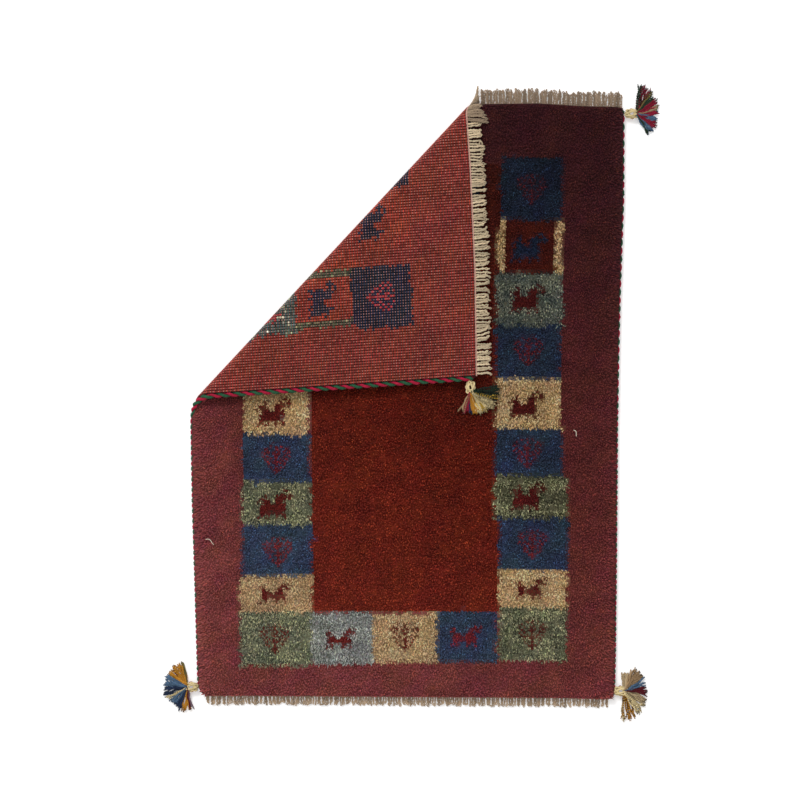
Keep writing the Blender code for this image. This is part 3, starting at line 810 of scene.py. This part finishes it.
def spin_yarns(name, centres, radii, phases, lobe, yarn_colours):
    """Twisted yarns or cords: rings of points that turn as they follow each centre line."""
    centres = np.asarray(centres, float)
    count, steps, _ = centres.shape
    sides = lobe.shape[-1]
    sideways, raised = line_frames(centres)
    angle = phases[..., None] + 2 * math.pi * np.arange(sides) / sides
    distance = radii[..., None] * lobe
    rings = centres[:, :, None] + distance[..., None] * (
        np.cos(angle)[..., None] * sideways[:, :, None] + np.sin(angle)[..., None] * raised[:, :, None])
    places = np.concatenate([rings.reshape(count, -1, 3), centres[:, :1], centres[:, -1:]], axis=1)
    stride = steps * sides + 2
    step_number, side_number = np.mgrid[0:steps - 1, 0:sides]
    step_number, side_number = step_number.ravel(), side_number.ravel()
    beyond = (side_number + 1) % sides
    quads = np.stack([step_number * sides + side_number, (step_number + 1) * sides + side_number,
                      (step_number + 1) * sides + beyond, step_number * sides + beyond], axis=-1)
    each = np.arange(sides)
    start_cap = np.stack([np.full(sides, stride - 2), each, (each + 1) % sides], axis=-1)
    last = (steps - 1) * sides
    end_cap = np.stack([np.full(sides, stride - 1), last + (each + 1) % sides, last + each], axis=-1)
    first = (np.arange(count) * stride)[:, None, None]
    faces = [(first + quads).reshape(-1, 4), (first + np.concatenate([start_cap, end_cap])).reshape(-1, 3)]
    s0, s1 = 0.02 + 0.96 * step_number / (steps - 1), 0.02 + 0.96 * (step_number + 1) / (steps - 1)
    t0, t1 = side_number / sides, (side_number + 1) / sides
    quad_uv = np.stack([np.stack([s0, t0], -1), np.stack([s1, t0], -1),
                        np.stack([s1, t1], -1), np.stack([s0, t1], -1)], axis=1)
    e0, e1 = each / sides, (each + 1) / sides
    low, high, middle = np.full(sides, 0.02), np.full(sides, 0.98), np.full(sides, 0.5)
    start_uv = np.stack([np.stack([low * 0, middle], -1), np.stack([low, e0], -1),
                         np.stack([low, e1], -1)], 1)
    end_uv = np.stack([np.stack([high + 0.02, middle], -1), np.stack([high, e1], -1),
                       np.stack([high, e0], -1)], 1)
    row = np.arange(count)[:, None, None, None]

    def in_strip(shape):
        placed = np.repeat(shape[None], count, axis=0)
        placed[..., 1] = (placed[..., 1:2] * 0.94 + 0.03 + row)[..., 0] / count
        return placed.reshape(-1, 2)

    unwrapped = np.concatenate([in_strip(quad_uv), in_strip(np.concatenate([start_uv, end_uv]))])
    quad_colour = np.repeat(yarn_colours[:, None], steps - 1, axis=1).reshape(-1, 3)
    cap_colour = np.concatenate([yarn_colours, yarn_colours], axis=1).reshape(-1, 3)
    return make_piece(name, places.reshape(-1, 3), faces, unwrapped,
                      np.concatenate([quad_colour, cap_colour]), "FACE")


cord_pieces = []
for cord_name, shape in CORDS.items():
    lower = np.interp(shape["edge"][0, 1], *BOTTOM_EDGE.T) + shape["gaps"][0]
    upper = np.interp(shape["edge"][-1, 1], *TOP_EDGE.T) - shape["gaps"][1]
    along = np.linspace(lower, upper, int((upper - lower) / CORD_STEP))
    across = np.interp(along, *shape["edge"].T) + shape["inward"] * CORD_SET_BACK
    route = lay(np.column_stack([across, along, np.full_like(along, CORD_HEIGHT)]))
    turning = np.cumsum(2 * math.pi * np.gradient(along) / np.interp(along, *CORD_LAY.T))
    from_end = np.minimum(along - along[0], along[-1] - along)
    ends = np.minimum(1, from_end / CORD_END_TAPER + CORD_END_SHARE)
    rng = np.random.default_rng(71)
    sideways, raised = line_frames(route[None])
    bundle_turn = -turning[None, :, None] + np.array((0.0, math.pi))[:, None, None]
    uneven = (1 + rng.normal(0, 0.03, (2, len(along), 1))) * ends[None, :, None]
    turned = np.cos(bundle_turn) * sideways + np.sin(bundle_turn) * raised
    centres = route[None] + CORD_ORBIT * uneven * turned
    twist = np.cumsum(np.gradient(along))[None] * 2 * math.pi / BUNDLE_TURN * np.ones((2, 1))
    colours = np.repeat(np.stack([CORD_RED, CORD_GREEN])[:, None], len(BUNDLE_LOBES), axis=1)
    colours = colours * rng.uniform(0.82, 1.15, (2, len(BUNDLE_LOBES), 1))
    cord = spin_yarns(cord_name + "_yarns", centres, BUNDLE_RADIUS * uneven[..., 0], twist,
                      np.broadcast_to(BUNDLE_LOBES, (2, len(along), len(BUNDLE_LOBES))), colours)
    cord.data.materials.append(cord_wool.material)
    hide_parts(cord_name)
    cord_pieces.append(cord)

# The ends: a fine pale cord is twined over the last weft, and beyond it the warps stand free
# as a fringe. Each strand is a pair of twisted undyed warps that ends in a small open loop.
STRIP_END = 0.0033
STRAND_SIDES = (1.1, 0.8, 1.0, 1.1, 0.8, 1.0)
STRAND_TURN = 0.0058
STRAND_TUCK = 0.0008
STRAND_HEIGHT = 0.0016
STRAND_LAYERS = 0.0016
STRAND_CRIMP = 0.00035
CURL_FROM = 0.62
LOOP_AT, LOOP_REACH, LOOP_OPENING = 0.84, 0.10, 0.9
LOOP_CLOSES_FROM, LOOP_CLOSES_BY = 0.90, 0.75
STRAND_TAPERS_FROM = 0.85
SHORTEST_STRAND = 0.78
FLAP_STRAND_CLEARANCE = 0.0016
DROOP_POWER = 1.3
# The fringe on the flap is painted lighter, as lit, and the fringes on the floor are painted darker, as in
# shade; the far fringe is also darker than the near one.
FRINGES = {
    "fringe_bottom": {
        "end": "bottom", "from": -0.2860, "to": 0.2900, "strands": 196, "steps": 9, "length": 0.0155,
        "lean": 0.0, "sway": 0.0011, "radius": 0.00092, "spread": 0.0008, "colour": "#bda488",
    },
    "fringe_top": {
        "end": "top", "from": 0.1060, "to": 0.3085, "strands": 78, "steps": 12, "length": 0.0235,
        "lean": 0.0, "sway": 0.0012, "radius": 0.00100, "spread": 0.0009, "colour": "#9c8772",
    },
    "fringe_fold": {
        "end": "top", "from": 0.0590, "to": 0.1050, "strands": 17, "steps": 13, "length": 0.0330,
        "lean": -0.0040, "sway": 0.0014, "radius": 0.00100, "spread": 0.0009, "colour": "#ab957c",
    },
    "fringe_flap": {
        "end": "top", "from": -0.3030, "to": 0.0560, "strands": 92, "steps": 12, "length": 0.0250,
        "lean": 0.0, "sway": 0.0021, "radius": 0.00098, "spread": 0.0009, "colour": "#e2cdab",
    },
}
TWINING_STEP, TWINING_RADIUS = 0.0019, 0.00105
TWINING_OUT, TWINING_HEIGHT = 0.0008, 0.0012
TWINING = (  # name, end, from across, to across, colour
    ("twining_bottom", "bottom", -0.2860, 0.2900, "#a8806c"),
    ("twining_top", "top", -0.3040, 0.3090, "#cf9f90"),
)

warp_wool = Finish("undyed_warp_wool", 0.88, 0.06)
warp_dye_and_painted_light = warp_wool.node("ShaderNodeAttribute", {"attribute_name": "dye"}, outlet="Color")
warp_wool.fill("Base Color", warp_wool.shade(warp_dye_and_painted_light, 0.74 + 0.52 * warp_wool.noise(0.0009)))
warp_wool.relief(warp_wool.noise(0.0005), 0.0002)


def eased(value):
    """Eased step from 0 to 1."""
    value = np.clip(value, 0, 1)
    return value * value * (3 - 2 * value)


def trail(end, across, beyond, height, length):
    """Where points lie that are some distance beyond an end of the rug."""
    if end == "bottom":
        return np.stack([across, np.interp(across, *BOTTOM_EDGE.T) - beyond, height], axis=-1)
    edge = np.interp(across, *TOP_EDGE.T)
    angle = np.clip(fold_reach(across, edge) / BEND_LENGTH, 0, 1) * math.pi
    root = lay(np.stack([across, edge, height], axis=-1))
    outward = np.stack([FOLD_OUT[0] * np.cos(angle) * FOLD_OUT[1] + FOLD_ALONG[0] * FOLD_ALONG[1],
                        FOLD_OUT[1] * np.cos(angle) * FOLD_OUT[1] + FOLD_ALONG[1] * FOLD_ALONG[1],
                        np.sin(angle) * FOLD_OUT[1]], axis=-1)
    middle = 0.001
    root_height = lay(np.stack([across, edge, np.full_like(across, middle)], axis=-1))[..., 2]
    tip_height = middle + (THICKNESS + FLAP_STRAND_CLEARANCE - middle) * eased(angle / math.pi)
    drop = root_height + outward[..., 2] * length - tip_height
    share = np.maximum(0, beyond - STRIP_END) / (length - STRIP_END)
    place = root + outward * beyond[..., None]
    place[..., 2] -= drop * share ** DROOP_POWER
    return place


fringe_pieces = []
for place, (fringe_name, row) in enumerate(FRINGES.items()):
    rng = np.random.default_rng(81 + place)
    strands, steps, length = row["strands"], row["steps"], row["length"]
    pitch = (row["to"] - row["from"]) / strands
    root = row["from"] + pitch * (np.arange(strands) + 0.5 + rng.uniform(-0.3, 0.3, strands))
    reach = length * rng.uniform(SHORTEST_STRAND, 1.0, strands)
    sway = row["lean"] + rng.normal(0, row["sway"], strands)
    hook = rng.normal(0, row["sway"] * 1.1, strands)
    share = np.linspace(0, 1, steps)[None, :, None]
    pair = np.array((0.0, math.pi))[None, None, :]
    start_turn = rng.uniform(0, 2 * math.pi, strands)[:, None, None]
    curl = eased((share - CURL_FROM) / (1 - CURL_FROM))
    opening = 1 + LOOP_OPENING * np.exp(-(((share - LOOP_AT) / LOOP_REACH) ** 2))
    opening = opening - LOOP_CLOSES_BY * eased((share - LOOP_CLOSES_FROM) / (1 - LOOP_CLOSES_FROM))
    turn = start_turn + pair + 2 * math.pi * reach[:, None, None] * share / STRAND_TURN * (1 - 0.3 * share)
    crimp = STRAND_CRIMP * np.sin(share * 11 + start_turn)
    across = root[:, None, None] + sway[:, None, None] * share ** 1.5 + hook[:, None, None] * curl ** 2
    across = across + crimp + row["spread"] * opening * np.cos(turn)
    beyond_end = -STRAND_TUCK + (reach[:, None, None] + STRAND_TUCK) * share
    beyond_end = beyond_end - np.abs(hook)[:, None, None] * 0.8 * curl ** 3
    beyond_end = np.broadcast_to(beyond_end, across.shape)
    layer = rng.uniform(0, STRAND_LAYERS, strands)[:, None, None] * share ** 0.7
    height = STRAND_HEIGHT + row["spread"] * 0.7 * np.sin(turn) + layer
    centre = trail(row["end"], across, beyond_end, height, length)
    centre = centre.transpose(0, 2, 1, 3).reshape(strands * 2, steps, 3)
    centre[..., 2] = np.maximum(centre[..., 2], row["radius"] + 0.0001)
    near_tip = (np.linspace(0, 1, steps) - STRAND_TAPERS_FROM) / (1 - STRAND_TAPERS_FROM)
    thick = row["radius"] * (1 - 0.3 * eased(near_tip))
    thick = np.broadcast_to(thick, centre.shape[:2]) * rng.uniform(0.82, 1.15, (strands * 2, 1))
    twist = np.linspace(0, 9.0, steps)[None] + rng.uniform(0, 6, (strands * 2, 1))
    tone = dye(row["colour"]) * rng.uniform(0.70, 1.12, (strands, 1))
    tone = np.repeat(tone, 2, axis=0) * rng.uniform(0.88, 1.08, (strands * 2, 1))
    colours = np.repeat(tone[:, None], len(STRAND_SIDES), axis=1)
    fringe = spin_yarns(fringe_name + "_warps", centre, thick, twist,
                        np.broadcast_to(STRAND_SIDES, (*centre.shape[:2], len(STRAND_SIDES))), colours)
    fringe.data.materials.append(warp_wool.material)
    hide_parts(fringe_name)
    fringe_pieces.append(fringe)

for twining_name, end, start, stop, code in TWINING:
    rng = np.random.default_rng(91)
    across = np.linspace(start, stop, int((stop - start) / TWINING_STEP))
    out = np.full_like(across, TWINING_OUT)
    route = trail(end, across, out, np.full_like(across, TWINING_HEIGHT), FRINGES["fringe_top"]["length"])
    bead = 1 + 0.25 * np.cos(math.pi * np.arange(len(across)))
    thick = TWINING_RADIUS * bead * rng.uniform(0.88, 1.1, len(across))
    tone = dye(code) * rng.uniform(0.85, 1.1, (6, 1))
    twining = spin_yarns(twining_name, route[None], thick[None], np.zeros((1, len(across))),
                         np.ones((1, len(across), 6)), tone[None])
    twining.data.materials.append(warp_wool.material)
    fringe_pieces.append(twining)

# The tassels: loose plied yarns in the rug's dyes, looped through each corner, bound at a
# knotted head with cream yarn, and spread in a fan. Their colours follow one another round the fan.
HEAD_HEIGHT = 0.0078
FAN_ON_PILE = THICKNESS + 0.0003
TASSEL_YARNS = 84
TASSEL_STEPS = 13
FAN_START = 0.001
FAN_LAYERS = 0.0030
YARN_BOW, YARN_CURL, YARN_WAVE = 0.0016, 0.0022, 0.0005
HEAD_AT, HEAD_REACH = 0.0030, 0.0095
HEAD_LOOP_STEPS = 22
YARN_RADIUS = 0.00155
YARN_LOBE = (1.08, 0.78, 1.0, 1.08, 0.78, 1.0)
YARN_TURN = 0.0065
LOOP_YARN_RADIUS = 0.0014
TASSEL_DYES = {
    "crimson": "#8f1c34", "maroon": "#5c1620", "dark green": "#2a3c2c", "olive": "#7c7040",
    "beige": "#b09a78", "cream": "#e4cf9c", "mustard": "#c4882c", "steel": "#55708c",
    "navy": "#26344f", "mauve": "#8a7480", "yellow": "#d8b048", "tan": "#a88a66",
}
TASSELS = {
    "tassel_top_right": {
        "root": (0.3289, 0.4118), "neck": (0.3137, 0.4118), "base": 0.0,
        "fan": (  # angle, length
            (88, 0.0430), (75, 0.0465), (50, 0.0395), (14, 0.0350),
            (-14, 0.0305), (-34, 0.0360), (-64, 0.0350),
        ),
        "colours": (  # angle where it starts, dye
            (90, "dark green"), (78, "crimson"), (60, "olive"), (50, "dark green"), (38, "crimson"),
            (22, "beige"), (8, "crimson"), (-5, "steel"), (-22, "crimson"), (-40, "steel"),
            (-55, "dark green"),
        ),
    },
    "tassel_bottom_left": {
        "root": (-0.3117, -0.4068), "neck": (-0.2995, -0.4068), "base": 0.0,
        "fan": (  # angle, length
            (96, 0.0370), (115, 0.0390), (143, 0.0370), (180, 0.0365), (207, 0.0385),
            (230, 0.0330), (252, 0.0390), (284, 0.0340),
        ),
        "colours": (  # angle where it starts, dye
            (96, "olive"), (105, "mustard"), (132, "maroon"), (137, "mustard"), (150, "steel"),
            (178, "navy"), (205, "cream"), (215, "steel"), (235, "navy"), (255, "mustard"),
            (275, "maroon"), (280, "mauve"),
        ),
    },
    "tassel_bottom_right": {
        "root": (0.3110, -0.4126), "neck": (0.3003, -0.4126), "base": 0.0,
        "fan": (  # angle, length
            (96, 0.0270), (76, 0.0270), (60, 0.0400), (31, 0.0375), (14, 0.0335),
            (-20, 0.0360), (-48, 0.0415), (-75, 0.0455), (-98, 0.0450),
        ),
        "colours": (  # angle where it starts, dye
            (96, "beige"), (75, "tan"), (30, "steel"), (12, "maroon"), (-12, "beige"),
            (-35, "cream"), (-62, "mustard"), (-94, "cream"),
        ),
    },
    "tassel_flap": {
        "root": (0.0915, 0.0150), "neck": (0.0918, 0.0288), "base": FAN_ON_PILE,
        "fan": (  # angle, length
            (12, 0.0440), (3, 0.0460), (-20, 0.0435), (-45, 0.0410),
            (-75, 0.0350), (-93, 0.0325), (-116, 0.0345),
        ),
        "colours": (  # angle where it starts, dye
            (12, "dark green"), (-12, "yellow"), (-20, "cream"), (-50, "yellow"), (-56, "cream"),
            (-72, "mustard"), (-85, "navy"), (-95, "crimson"), (-108, "tan"),
        ),
    },
}
HEAD_LOOPS = (  # turn from the neck's line, half length, half width, height
    (0.0, 0.0095, 0.0040, 0.0070), (0.50, 0.0088, 0.0034, 0.0082), (-0.50, 0.0090, 0.0036, 0.0094),
    (0.22, 0.0100, 0.0026, 0.0100), (-0.24, 0.0078, 0.0048, 0.0058), (1.45, 0.0064, 0.0036, 0.0088),
    (1.70, 0.0066, 0.0040, 0.0066),
)

tassel_wool = Finish("plied_tassel_yarn", 0.86, 0.06)
tassel_dye = tassel_wool.node("ShaderNodeAttribute", {"attribute_name": "dye"}, outlet="Color")
tassel_wool.fill("Base Color", tassel_wool.shade(tassel_dye, 0.72 + 0.56 * tassel_wool.noise(0.0008)))
tassel_wool.relief(tassel_wool.noise(0.0004), 0.0003)

for tassel_number, (tassel_name, shape) in enumerate(TASSELS.items()):
    rng = np.random.default_rng(101 + tassel_number)
    angles, lengths = np.array(sorted(shape["fan"])).T
    first, last = shape["fan"][0][0], shape["fan"][-1][0]
    spread = (np.arange(TASSEL_YARNS) + 0.5) / TASSEL_YARNS
    degrees = first + (last - first) * spread
    names = []
    for angle in degrees:
        passed = [word for at, word in shape["colours"] if (at - angle) * np.sign(first - last) >= -1e-6]
        names.append(passed[-1] if passed else shape["colours"][0][1])
    heading = np.radians(degrees + rng.normal(0, 1.6, TASSEL_YARNS))
    reach = np.interp(degrees, angles, lengths) * rng.uniform(0.84, 1.0, TASSEL_YARNS)
    share = np.linspace(0, 1, TASSEL_STEPS)[None]
    distance = FAN_START + (reach[:, None] - FAN_START) * share
    bow = rng.normal(0, YARN_BOW, TASSEL_YARNS)[:, None] * np.sin(math.pi * share)
    curl = rng.normal(0, YARN_CURL, TASSEL_YARNS)[:, None] * eased((share - 0.55) / 0.45) ** 2
    wave = YARN_WAVE * np.sin(share * 14 + rng.uniform(0, 6, TASSEL_YARNS)[:, None])
    drift = bow + curl + wave
    layer = rng.uniform(0, 1, TASSEL_YARNS)[:, None]
    head_rise = np.exp(-(((distance - HEAD_AT) / HEAD_REACH) ** 2))
    height = shape["base"] + YARN_RADIUS + 0.0002 + layer * FAN_LAYERS * (1 - 0.45 * share)
    height = height + head_rise * (HEAD_HEIGHT - 0.0026) * (0.35 + 0.65 * layer)
    plan_x = shape["root"][0] + distance * np.cos(heading)[:, None] - drift * np.sin(heading)[:, None]
    plan_y = shape["root"][1] + distance * np.sin(heading)[:, None] + drift * np.cos(heading)[:, None]
    centre = np.stack([plan_x, plan_y, height], axis=-1)
    radii = YARN_RADIUS * (0.85 + 0.15 * share - 0.3 * eased((share - 0.9) / 0.1))
    radii = np.broadcast_to(radii, centre.shape[:2]) * rng.uniform(0.85, 1.12, (TASSEL_YARNS, 1))
    twist = 2 * math.pi * distance / YARN_TURN + rng.uniform(0, 6, (TASSEL_YARNS, 1))
    tone = np.array([dye(TASSEL_DYES[word]) for word in names])
    tone = tone * rng.uniform(0.78, 1.2, (TASSEL_YARNS, 1))
    fan = spin_yarns(tassel_name + "_fan", centre, radii, twist,
                     np.broadcast_to(YARN_LOBE, (*centre.shape[:2], len(YARN_LOBE))),
                     np.repeat(tone[:, None], len(YARN_LOBE), axis=1))
    fan.data.materials.append(tassel_wool.material)
    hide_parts(tassel_name)

    root, neck = np.array(shape["root"]), np.array(shape["neck"])
    back = (neck - root) / np.linalg.norm(neck - root)
    beside = np.array((-back[1], back[0]))
    middle = root + (neck - root) * 0.42
    turns = np.linspace(0, 2 * math.pi, HEAD_LOOP_STEPS)
    loop_centres = []
    for tilt, half_length, half_width, top in HEAD_LOOPS:
        along_loop = np.cos(turns)[:, None] * half_length
        across_loop = np.sin(turns)[:, None] * half_width
        ahead = back * math.cos(tilt) + beside * math.sin(tilt)
        aside = -back * math.sin(tilt) + beside * math.cos(tilt)
        plan = middle + along_loop * ahead + across_loop * aside
        rise = shape["base"] + top - 0.0022 * np.cos(turns) ** 2 + rng.normal(0, 0.0002, len(turns))
        loop_centres.append(np.column_stack([plan, rise]))
    loop_centres = np.array(loop_centres)
    loop_radii = np.full(loop_centres.shape[:2], LOOP_YARN_RADIUS)
    loop_twist = np.linspace(0, 20, len(turns))[None] + rng.uniform(0, 6, (len(HEAD_LOOPS), 1))
    tone = dye(TASSEL_DYES["cream"]) * rng.uniform(0.75, 1.1, (len(HEAD_LOOPS), 1))
    tone[-1] = dye(TASSEL_DYES["crimson"])
    binding = spin_yarns(tassel_name + "_binding", loop_centres, loop_radii, loop_twist,
                         np.broadcast_to(YARN_LOBE, (*loop_centres.shape[:2], len(YARN_LOBE))),
                         np.repeat(tone[:, None], len(YARN_LOBE), axis=1))
    binding.data.materials.append(tassel_wool.material)

# Two short ends of pale thread have caught on the pile, one near the left side cord and one
# beside the right column of squares.
LINT = {
    "lint_left": {"start": (-0.2860, -0.1960), "stop": (-0.2732, -0.2012), "bow": 0.0022},
    "lint_right": {"start": (0.2390, -0.0400), "stop": (0.2446, -0.0480), "bow": 0.0016},
}
LINT_RADIUS = 0.00045
LINT_STEPS = 12
for lint_name, shape in LINT.items():
    share = np.linspace(0, 1, LINT_STEPS)[:, None]
    start, stop = np.array(shape["start"]), np.array(shape["stop"])
    aside = np.array((-(stop - start)[1], (stop - start)[0])) / np.linalg.norm(stop - start)
    plan = start + (stop - start) * share + aside * shape["bow"] * np.sin(math.pi * 1.5 * share)
    route = np.column_stack([plan, np.full(LINT_STEPS, TUFT_TIP + 0.0005)])
    lint = spin_yarns(lint_name, route[None], np.full((1, LINT_STEPS), LINT_RADIUS),
                      np.zeros((1, LINT_STEPS)), np.ones((1, LINT_STEPS, 5)),
                      np.tile(dye("#e8dcc8"), (1, 5, 1)))
    lint.data.materials.append(warp_wool.material)

pile_pieces + [back_knots, weft_beads] + cord_pieces + fringe_pieces
